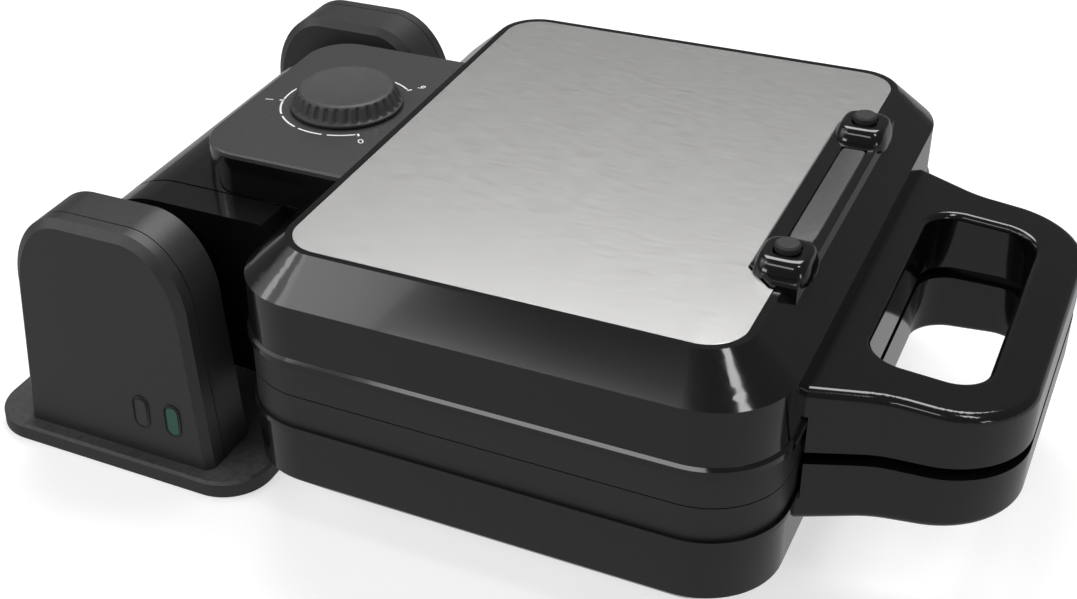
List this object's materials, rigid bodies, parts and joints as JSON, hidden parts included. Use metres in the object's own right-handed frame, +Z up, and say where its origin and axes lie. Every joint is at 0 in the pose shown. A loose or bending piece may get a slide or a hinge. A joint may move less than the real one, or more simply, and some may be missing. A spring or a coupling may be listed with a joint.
{
  "type": "reversible waffle maker",
  "caption": "Countertop waffle maker whose hinged cooking halves turn over in two towers, with loop handle, knob and steel covers.",
  "frame": {"origin": "centre of the bounding box on the surface it stands on, halves closed and level", "axes": "+X from the towers towards the handle, +Y from the front tower with the indicator lights to the rear tower, +Z up"},
  "size_m": [0.439, 0.2744, 0.138],
  "materials": {
    "gloss_black": "piano black",
    "satin_black": "fine satin grain",
    "base_black": "matte",
    "panel_grey": "fine satin grain",
    "knob_black": "matte, fluted",
    "brushed_steel": "satin brushed",
    "non_stick": "textured non-stick coat",
    "rubber_black": "matte",
    "heater_steel": "tubular sheath",
    "reflector_sheet": "bright sheet",
    "screw_steel": "zinc plated",
    "nylon": "natural nylon",
    "thermostat_case": "ceramic and steel",
    "lens_dark": "tinted lens",
    "lens_green": "green lens",
    "board_green": "printed board",
    "lamp_glass": "clear lamp"
  },
  "bodies": {
    "stand": {"base_plate": "base_black", "base_feet": "rubber_black", "tower_screws": "screw_steel", "front_tower_housing": "satin_black", "front_tower_cover": "satin_black", "rear_tower_housing": "satin_black", "rear_tower_cover": "satin_black", "front_bearing_bush": "nylon", "rear_bearing_bush": "nylon", "screw_plugs": "satin_black", "cord_gland": "rubber_black", "power_light_lens": "lens_dark", "ready_light_lens": "lens_green", "lamp_board": "board_green", "indicator_lamps": "lamp_glass"},
    "lower_half": {"lower_shell": "gloss_black", "lower_cover_plate": "brushed_steel", "lower_feet": "rubber_black", "lower_cooking_plate": "non_stick", "lower_plate_screws": "screw_steel", "lower_heating_element": "heater_steel", "lower_reflector": "reflector_sheet", "lower_handle": "gloss_black", "lower_handle_screws": "screw_steel", "hinge_pins": "screw_steel", "trunnion_clips": "screw_steel"},
    "upper_half": {"upper_shell": "gloss_black", "upper_cover_plate": "brushed_steel", "upper_feet": "rubber_black", "upper_cooking_plate": "non_stick", "upper_plate_screws": "screw_steel", "upper_heating_element": "heater_steel", "upper_reflector": "reflector_sheet", "upper_handle": "gloss_black", "upper_handle_screws": "screw_steel", "control_housing": "gloss_black", "control_panel": "panel_grey", "thermostat": "thermostat_case", "terminal_block": "nylon", "hinge_bushes": "nylon"},
    "knob": {"thermostat_knob": "knob_black", "thermostat_spindle": "screw_steel"}
  },
  "joints": [
    {"name": "flip", "type": "hinge", "parent": "stand", "child": "lower_half", "pos_m": [-0.1485, 0, 0.069], "axis": [0, -1, 0], "range_deg": [0, 180]},
    {"name": "lid", "type": "hinge", "parent": "lower_half", "child": "upper_half", "pos_m": [-0.1485, 0, 0.069], "axis": [0, 1, 0], "range_deg": [-180, 0]},
    {"name": "knob_turn", "type": "hinge", "parent": "upper_half", "child": "knob", "pos_m": [-0.0941, 0, 0.1275], "axis": [0, 0, -1], "range_deg": [0, 270]}
  ]
}
